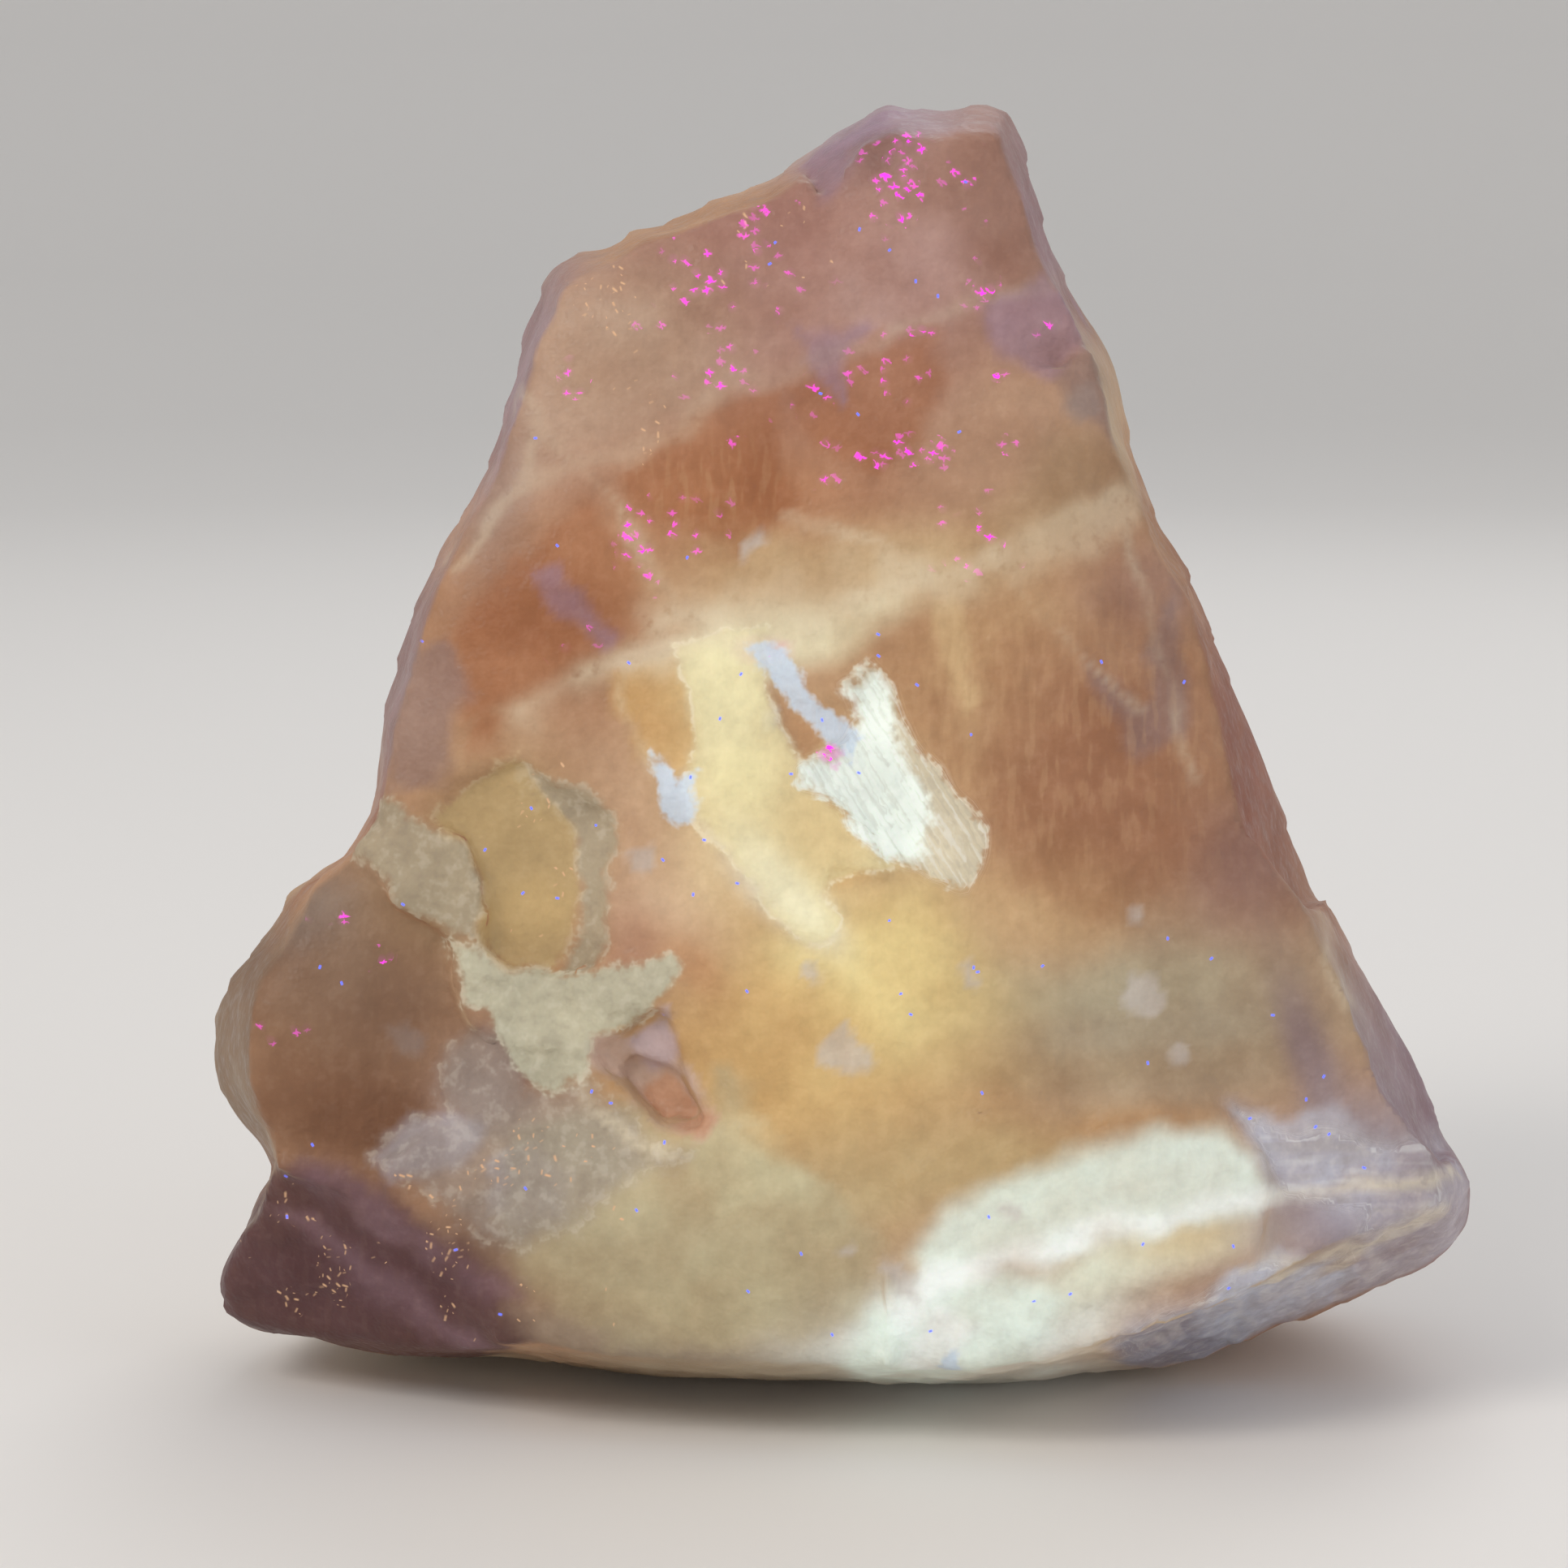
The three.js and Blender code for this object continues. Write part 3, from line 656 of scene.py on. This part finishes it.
# Colour that changes softly, held in the vertices: the stone's own tones with painted light and shade in
# them

def tinted(colours, weight, hexed):
    """Colours mixed with a tint, by a weight for each place."""
    weight = weight[:, None]
    return colours * (1 - weight) + weight * np.array(shade(hexed))


SIDE_BASE = "B48A6A"
FRONT_BASE = "B48C6C"
# Large clouds of the sides and back: size, seed and colour
SIDE_TONES = [(40, 71, "C4A482"), (34, 81, "A06C4E"), (46, 91, "C6B498")]
# How strong the clouds and the side zones are, and how far zones stray, in units
CLOUD_STRENGTH = 0.8
SIDE_STRENGTH = 0.85
ZONE_STRAY = 30
# How much less green and blue a dark cloud has, and how much darker it is
CLOUD_WARMTH = np.array([0.0, 0.1, 0.16])
CLOUD_DEPTH = 0.22
SPECKLE_DEPTH = 0.07

tone = np.ones((len(own), 3)) * shade(SIDE_BASE)
for size, seed, hexed in SIDE_TONES:
    tone = tinted(tone, CLOUD_STRENGTH * smooth(layered(own, size, seed), 0.0, 0.5), hexed)
front_tone = np.ones_like(tone) * shade(FRONT_BASE)
wide_stray = seen + ZONE_STRAY * np.stack([noise(own, 13, 95), noise(own, 13, 97)], 1)
for middle, radii, turn, hexed, strength in TONE_AND_LIGHT_ZONES:
    front_tone = tinted(front_tone, strength * zone_weight(wide_stray, middle, radii, turn), hexed)
near_front = smooth(own[:, 2], -50, -4)
for middle, radii, hexed in SIDE_ZONES:
    tone = tinted(tone, SIDE_STRENGTH * zone_weight(seen, middle, radii) * near_front, hexed)
tone = tone * (1 - blend[:, None]) + front_tone * blend[:, None]
frayed = 17 * layered(own, 3.2, 321)
for name, look in SOFT_PATCHES.items():
    place = soft_patches[name] + look.wander * frayed
    tone = tinted(tone, look.strength * smooth(place, -look.soft, look.soft), look.tint)
clouds = layered(own, 7, 301, 4)
tone *= 1 + clouds[:, None] * CLOUD_WARMTH
mottle = 1 + CLOUD_DEPTH * clouds + SPECKLE_DEPTH * layered(own, 2.6, 311)

# Painted glow: where the front gives off a little light of its own, more than the rest, brightest in its
# middle
# and lower right: middle, radii, turn and strength
PAINTED_GLOWS = [
    ((1020, 960), (330, 300), 0, 0.75),
    ((1280, 1540), (360, 160), -10, 0.675),
    ((960, 1300), (330, 260), 0, 0.4125),
]
LEAST_PAINTED_GLOW = 0.25
painted_glows = [strength * zone_weight(seen, middle, radii, turn) for middle, radii, turn, strength in PAINTED_GLOWS]
painted_glow = LEAST_PAINTED_GLOW + np.maximum.reduce(painted_glows) * blend

# Veils: how near each place is to one, 1 in its middle. Others cross the back and sides.

# Seed, the way that they follow one another and their distance in millimetres
BACK_VEILS = ((111, RISING, 23.0), (121, FALLING, 31.0))
BACK_VEIL_MM = 1.3
BACK_VEIL_STRENGTH = 0.2
VEIL_STRAY = 0.12

veil = np.zeros(len(own))
veil_stray = 7 * noise(own, 9, 101) + 5 * noise(own, 3, 103)
patchy = 0.45 + 0.55 * smooth(noise(own, 6, 105), -0.5, 0.4)
for line, half_width, strength in VEILS:
    off = np.maximum(to_line(drawn, line) / half_width + VEIL_STRAY * veil_stray, 0)
    veil = np.maximum(veil, strength * np.exp(-off ** 2) * facing * patchy)
for seed, direction, spacing in BACK_VEILS:
    place = own @ direction / spacing + 0.25 * layered(own, 30, seed)
    off = np.abs(place - np.round(place)) * spacing / BACK_VEIL_MM
    shown = smooth(noise(own, 18, seed + 3), -0.3, 0.4) * (1 - blend) * (1 - facing)
    veil = np.maximum(veil, BACK_VEIL_STRENGTH * np.exp(-off ** 2) * shown)


def thickest(areas):
    """How thick marks lie at each place, for areas that may overlap."""
    most = np.zeros(len(own))
    for middle, radii, strength in areas:
        most = np.maximum(most, strength * zone_weight(seen, middle, radii))
    return most * on_front


def packed(name, fields):
    """Keeps up to three fields of numbers as one vector on the stone's vertices."""
    rows = list(fields) + [np.zeros(len(own))] * (3 - len(fields))
    values = np.stack(rows, 1).astype(np.float32)
    stone.data.attributes.new(name, "FLOAT_VECTOR", "POINT").data.foreach_set("vector", values.ravel())


# In the material, one step on the front view is this many units, about a millimetre
VIEW_STEP = 10
# Upright streaks: middle, radii and strength, and how strong they are everywhere on the front
STREAKS = [((1280, 930), (250, 190), 0.34), ((880, 600), (90, 60), 0.4)]
LEAST_STREAKS = 0.04
GLINTS_IN_CLUSTERS = 2.4

NAMES = list(PATCHES)
for k in range(0, len(NAMES), 3):
    packed(f"patches_{k // 3}", [patches[name] for name in NAMES[k:k + 3]])
clusters = smooth(noise(own, 5, 401), 0.05, 0.4)
packed("marks", [thickest(MAGENTA_GLINTS), GLINTS_IN_CLUSTERS * thickest(GLINTS) * clusters, on_front])
packed("veil_painted_glow_rough", [veil, painted_glow, rough])
streaks = LEAST_STREAKS * blend + sum(strength * zone_weight(seen, *where) for *where, strength in STREAKS)
packed("view", [seen[:, 0] / VIEW_STEP, seen[:, 1] / VIEW_STEP, streaks])
packed("bands", [smooth(soft_patches["corner"], -20, 8) * smooth(normal[:, 2], 0.15, 0.5)])
colours = np.concatenate([tone, mottle[:, None]], 1).astype(np.float32)
stone.data.attributes.new("tone", "FLOAT_COLOR", "POINT").data.foreach_set("color", colours.ravel())

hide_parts(CAD_NODE)
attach(stone, "root")


# The stone's material

class Nodes:
    """Short ways to add shader nodes to one material."""

    def __init__(self, material):
        material.use_nodes = True
        self.tree = material.node_tree
        self.bsdf = self.tree.nodes["Principled BSDF"]

    def node(self, kind, inputs=None, **settings):
        made = self.tree.nodes.new("ShaderNode" + kind)
        for key, value in settings.items():
            setattr(made, key, value)
        for key, value in (inputs or {}).items():
            self.put(made.inputs[key], value)
        return made

    def add(self, kind, inputs=None, out=0, **settings):
        return self.node(kind, inputs, **settings).outputs[out]

    def put(self, socket, value):
        if isinstance(value, bpy.types.NodeSocket):
            self.tree.links.new(value, socket)
        else:
            socket.default_value = value

    def math(self, operation, a, b=0.0):
        return self.add("Math", {0: a, 1: b}, operation=operation)

    def vector(self, operation, a, b=(0, 0, 0)):
        return self.add("VectorMath", {0: a, 1: b}, operation=operation)

    def attribute(self, name, out="Vector"):
        return self.add("Attribute", out=out, attribute_name=name)

    def parts(self, vector):
        return self.node("SeparateXYZ", {0: vector}).outputs

    def noise(self, size, where, detail=3.0, roughness=0.6, flat=False):
        inputs = {"Vector": where, "Scale": 1 / size, "Detail": detail, "Roughness": roughness}
        return self.add("TexNoise", inputs, noise_dimensions="2D" if flat else "3D")

    def ramp(self, value, low, high, most=1.0):
        """0 up to low, most from high on and smooth between them."""
        inputs = {"Value": value, "From Min": low, "From Max": high, "To Max": most}
        return self.add("MapRange", inputs, interpolation_type="SMOOTHSTEP")

    def mix(self, share, a, b):
        return self.add("Mix", {0: share, 6: a, 7: b}, out=2, data_type="RGBA")


def rgba(hexed):
    return (*shade(hexed), 1.0)


# Tints of what lies on the tone
RIM_TINT = rgba("FBF3DC")
VEIL_TINT = rgba("E8DCC0")
GRAIN_TINTS = (rgba("F0EADC"), rgba("84726A"))
STREAK_TINTS = (rgba("CBA47C"), rgba("8C5E40"))
FIBRE_TINTS = (rgba("F2F4F0"), rgba("A8A094"))
# Painted light: the magenta and gold marks are painted glints, and the blue specks are dust with a painted
# glow
MAGENTA_GLINT = rgba("F23AD6")
GOLD_GLINT = rgba("E8BC94")
BLUE_DUST_GLOW = rgba("6474FF")

# How far a patch's edge strays for a wander of 1, and how wide its rim is, in units
EDGE_STRAY = 34
RIM_WIDTH = 5

# How the streaks' noise is stretched over the steps of the front view, and how the scar's threads lie
UPRIGHT_STRETCH = (0.75, 0.2, 0)
THREAD_STRETCH = (1.5, 0.14, 0)
THREAD_TURN_DEG = 30
THREAD_WAVER = 1.6
LEVEL_STRETCH = (0.07, 0.42, 0)
SCAR_STREAKS = 0.34
CORNER_STREAKS = 0.6

# Each mark's cell, in steps of the front view, and how rare the blue specks are
CROSS_CELL = 1.45
CROSS_WAVER = 2.4
STROKE_CELL = 0.9
BLUE_ABOVE = 0.9955

RAGGED_MM = 1.7
BUMP_MM = 1.0
MOTTLE_DEPTH = 0.24
GRAIN_DEPTH = 0.12
PAINTED_GLOW_STRENGTH = 0.1
SPARKLE_STRENGTH = 0.7


def patched(n, colour, ragged, centred):
    """The patches laid over a colour, with ragged edges."""
    fields = {}
    broken = n.ramp(ragged, 0.42, 0.55)
    for k in range(0, len(NAMES), 3):
        fields.update(zip(NAMES[k:k + 3], n.parts(n.attribute(f"patches_{k // 3}"))))
    wanders = {look.wander for look in PATCHES.values()}
    edges = {wander: n.math("MULTIPLY", centred, EDGE_STRAY * wander) for wander in sorted(wanders)}
    for name, look in PATCHES.items():
        place = n.math("ADD", fields[name], edges[look.wander])
        share = n.ramp(place, -look.soft, look.soft, look.strength)
        colour = n.mix(share, colour, rgba(look.tint))
        if look.rim:
            near = n.ramp(n.math("ABSOLUTE", place), RIM_WIDTH, 0, look.rim)
            colour = n.mix(n.math("MULTIPLY", near, broken), colour, RIM_TINT)
    return colour, fields


def streaked(n, colour, fields, view, streaks, in_corner, ragged):
    """Fine upright streaks at the right, threads along the scar and level bands in the lower right."""
    on_scar = n.ramp(fields["scar_edge"], -14, 2)
    upright = n.vector("MULTIPLY", view, UPRIGHT_STRETCH)
    turned = {"Vector": view, "Angle": math.radians(THREAD_TURN_DEG)}
    along = n.add("VectorRotate", turned, rotation_type="Z_AXIS")
    waver = n.math("MULTIPLY", ragged, THREAD_WAVER)
    threads = n.vector("ADD", n.vector("MULTIPLY", along, THREAD_STRETCH), waver)
    level = n.vector("MULTIPLY", view, LEVEL_STRETCH)
    where = n.add("Mix", {0: on_scar, 4: upright, 5: threads}, out=1, data_type="VECTOR")
    where = n.add("Mix", {0: in_corner, 4: where, 5: level}, out=1, data_type="VECTOR")
    grain = n.noise(1, where, 1.5, 0.6, flat=True)
    strong = n.math("ADD", streaks, n.math("MULTIPLY", on_scar, SCAR_STREAKS))
    strong = n.math("ADD", strong, n.math("MULTIPLY", in_corner, CORNER_STREAKS))
    special = n.math("MAXIMUM", on_scar, in_corner)
    pale = n.math("MULTIPLY", n.ramp(grain, 0.5, 0.68, 0.5), strong)
    colour = n.mix(pale, colour, n.mix(special, STREAK_TINTS[0], FIBRE_TINTS[0]))
    dim = n.math("MULTIPLY", n.ramp(grain, 0.5, 0.32, 0.38), strong)
    return n.mix(dim, colour, n.mix(special, STREAK_TINTS[1], FIBRE_TINTS[1]))


def crosses(n, view, marks, centred):
    """Small magenta crosses, painted glints that glow, each in its own cell of the front view, with a faint
    painted halo.
    """
    cells = n.node("TexVoronoi", {"Vector": view, "Scale": 1 / CROSS_CELL}, voronoi_dimensions="2D")
    pick = n.node("SeparateColor", {0: cells.outputs["Color"]}).outputs
    size = n.math("ADD", n.math("MULTIPLY", pick[1], 0.6), 0.4)
    wavered = n.vector("ADD", view, n.math("MULTIPLY", centred, CROSS_WAVER))
    off = n.vector("ABSOLUTE", n.vector("SUBTRACT", wavered, cells.outputs["Position"]))
    off = n.parts(n.add("VectorMath", {0: off, "Scale": n.math("DIVIDE", 1.0, size)}, operation="SCALE"))
    level = n.math("MULTIPLY", n.ramp(off[0], 1.1, 0.4), n.ramp(off[1], 0.24, 0.1))
    upright = n.math("MULTIPLY", n.ramp(off[0], 0.24, 0.1), n.ramp(off[1], 0.8, 0.3))
    halo = n.math("MULTIPLY", n.ramp(cells.outputs["Distance"], 0.75, 0), 0.14)
    mark = n.math("MAXIMUM", n.math("MAXIMUM", level, upright), halo)
    bright = n.math("MULTIPLY", n.ramp(pick[2], -0.5, 0.8), n.ramp(marks[0], -0.4, 0.6))
    shown = n.math("MULTIPLY", n.math("LESS_THAN", pick[0], marks[0]), bright)
    return n.math("MULTIPLY", mark, shown)


def strokes(n, view, marks):
    """Short gold strokes, painted glints, at all angles where they lie thick, and a few blue specks of dust
    all over the front, whose glow is painted light.
    """
    cells = n.node("TexVoronoi", {"Vector": view, "Scale": 1 / STROKE_CELL}, voronoi_dimensions="2D")
    pick = n.node("SeparateColor", {0: cells.outputs["Color"]}).outputs
    off = n.vector("SUBTRACT", view, cells.outputs["Position"])
    turn = n.math("MULTIPLY", pick[1], math.pi)
    turned = n.add("VectorRotate", {"Vector": off, "Angle": turn}, rotation_type="Z_AXIS")
    size = n.math("ADD", n.math("MULTIPLY", pick[2], 0.9), 0.3)
    off = n.vector("ABSOLUTE", turned)
    off = n.parts(n.add("VectorMath", {0: off, "Scale": n.math("DIVIDE", 1.0, size)}, operation="SCALE"))
    stroke = n.math("MULTIPLY", n.ramp(off[0], 0.5, 0.15), n.ramp(off[1], 0.22, 0.02))
    gold_glint = n.math("MULTIPLY", stroke, n.math("LESS_THAN", pick[0], marks[1]))
    gold_glint = n.math("MULTIPLY", gold_glint, n.ramp(pick[1], -0.5, 1.0))
    speck = n.math("MULTIPLY", n.ramp(off[0], 0.3, 0.08), n.ramp(off[1], 0.18, 0.06))
    few = n.math("MULTIPLY", n.math("GREATER_THAN", pick[2], BLUE_ABOVE), marks[2])
    return gold_glint, n.math("MULTIPLY", speck, few)


def calcite():
    """The stone's material: its tone, then the patches, veils, streaks, grains and marks over it."""
    material = bpy.data.materials.new("calcite")
    n = Nodes(material)
    place = n.add("TexCoord", out="Object")
    view = n.attribute("view")
    streaks = n.parts(view)[2]
    marks = n.parts(n.attribute("marks"))
    veil, painted_glow, rough = n.parts(n.attribute("veil_painted_glow_rough"))
    ragged = n.noise(RAGGED_MM * MM, place, 2)
    tone = n.node("Attribute", attribute_name="tone").outputs
    centred = n.math("SUBTRACT", ragged, 0.5)
    colour, fields = patched(n, tone["Color"], ragged, centred)
    fine = n.math("MULTIPLY", centred, MOTTLE_DEPTH)
    mottled = n.math("ADD", tone["Alpha"], fine)
    colour = n.add("VectorMath", {0: colour, "Scale": mottled}, operation="SCALE")
    colour = n.mix(n.math("MULTIPLY", veil, n.ramp(ragged, 0.0, 0.5)), colour, VEIL_TINT)
    colour = streaked(n, colour, fields, view, streaks, n.parts(n.attribute("bands"))[0], ragged)
    grainy = n.ramp(rough, -0.3, 1, GRAIN_DEPTH)
    colour = n.mix(n.math("MULTIPLY", n.ramp(ragged, 0.5, 0.68), grainy), colour, GRAIN_TINTS[0])
    colour = n.mix(n.math("MULTIPLY", n.ramp(ragged, 0.48, 0.3), grainy), colour, GRAIN_TINTS[1])
    magenta_glint = crosses(n, view, marks, centred)
    gold_glint, glowing_dust = strokes(n, view, marks)
    colour = n.mix(gold_glint, colour, GOLD_GLINT)
    colour = n.mix(magenta_glint, colour, MAGENTA_GLINT)
    colour = n.mix(glowing_dust, colour, BLUE_DUST_GLOW)

    height = n.noise(BUMP_MM * MM, place, 1, 0.62)
    relief = n.add("Bump", {"Strength": 0.5, "Distance": 0.35 * MM, "Height": height}, out="Normal")
    shader = n.bsdf.inputs
    n.put(shader["Base Color"], colour)
    n.put(shader["Roughness"], n.math("ADD", n.ramp(ragged, 0.3, 0.7, 0.25), n.ramp(rough, -1.4, 1, 0.6)))
    n.put(shader["Normal"], relief)
    n.put(shader["IOR"], 1.5)
    n.put(shader["Specular IOR Level"], 0.2)
    n.put(shader["Subsurface Weight"], 0.06)
    n.put(shader["Subsurface Radius"], (1.0, 0.55, 0.3))
    n.put(shader["Subsurface Scale"], 4 * MM)
    # Painted light: the stone gives off a faint painted glow in its own colour, and its magenta glints and
    # blue dust glow brighter
    n.put(shader["Emission Color"], colour)
    # Painted glow of the magenta glints and the blue dust
    sparkle = n.math("MULTIPLY", n.math("MAXIMUM", magenta_glint, glowing_dust), SPARKLE_STRENGTH)
    n.put(shader["Emission Strength"], n.math("ADD", n.math("MULTIPLY", painted_glow, PAINTED_GLOW_STRENGTH), sparkle))
    material.cycles.emission_sampling = "NONE"
    return material


stone.data.materials.append(calcite())


# Floor, light and camera

def plain(name, hexed, roughness):
    made = bpy.data.materials.new(name)
    made.use_nodes = True
    shader = made.node_tree.nodes["Principled BSDF"]
    shader.inputs["Base Color"].default_value = rgba(hexed)
    shader.inputs["Roughness"].default_value = roughness
    return made


def sweep(profile, around=96):
    """A floor that is flat in the middle and curves up far away, from (radius, height) pairs."""
    turns = [2 * math.pi * k / around for k in range(around)]
    places = [(r * math.cos(t), r * math.sin(t), h) for r, h in profile for t in turns]
    faces = [tuple(range(around))]
    for ring in range(len(profile) - 1):
        for k in range(around):
            a, b = ring * around + k, ring * around + (k + 1) % around
            faces.append((a, a + around, b + around, b))
    mesh = bpy.data.meshes.new("floor")
    mesh.from_pydata(places, [], faces)
    mesh.polygons.foreach_set("use_smooth", [True] * len(faces))
    made = bpy.data.objects.new("floor", mesh)
    bpy.context.scene.collection.objects.link(made)
    return made


FLOOR_PROFILE = [
    (0.4, 0), (1.6, 0), (2.0, 0.02), (2.4, 0.1), (2.8, 0.28), (3.1, 0.6), (3.25, 1.1), (3.3, 1.8),
]
floor = sweep(FLOOR_PROFILE)
floor.data.materials.append(plain("pale_floor", "EFEDEA", 0.7))

# What the lights point at, and each light's name, place, size, power and tint
TARGET = Vector((0, 0, 0.08))
LIGHTS = [
    ("key", (-0.75, -0.75, 0.9), 0.5, 6.5, "FFF8F0"),
    ("fill", (0.9, -0.7, 0.5), 0.9, 2.2, "F2F5FF"),
    ("back", (0.35, 0.9, 1.1), 0.9, 3.5, "FFFFFF"),
]


def area_light(name, place, size, power, tint):
    data = bpy.data.lights.new(name, "AREA")
    data.size = size
    data.energy = power
    data.color = shade(tint)
    made = bpy.data.objects.new(name, data)
    made.location = place
    made.rotation_euler = (TARGET - Vector(place)).to_track_quat("-Z", "Y").to_euler()
    bpy.context.scene.collection.objects.link(made)


for light in LIGHTS:
    area_light(*light)

world = bpy.data.worlds.new("studio")
world.use_nodes = True
backdrop = world.node_tree.nodes["Background"].inputs
backdrop["Color"].default_value = rgba("F4F4F6")
backdrop["Strength"].default_value = 0.6
bpy.context.scene.world = world
bpy.context.scene.view_settings.view_transform = "Standard"

eye = np.array([[(EYE - MIDDLE_ACROSS) * UNIT_MM, (LOWEST_DOWN - EYE) * UNIT_MM, EYE_AWAY_MM]])
camera_data = bpy.data.cameras.new("camera")
camera_data.lens = camera_data.sensor_width * EYE_AWAY_MM / (PICTURE_UNITS * UNIT_MM)
camera = bpy.data.objects.new("camera", camera_data)
camera.matrix_world = Matrix.Translation(Vector(row_frame(eye)[0]) * MM) @ TURN.to_4x4()
bpy.context.scene.collection.objects.link(camera)
bpy.context.scene.camera = camera
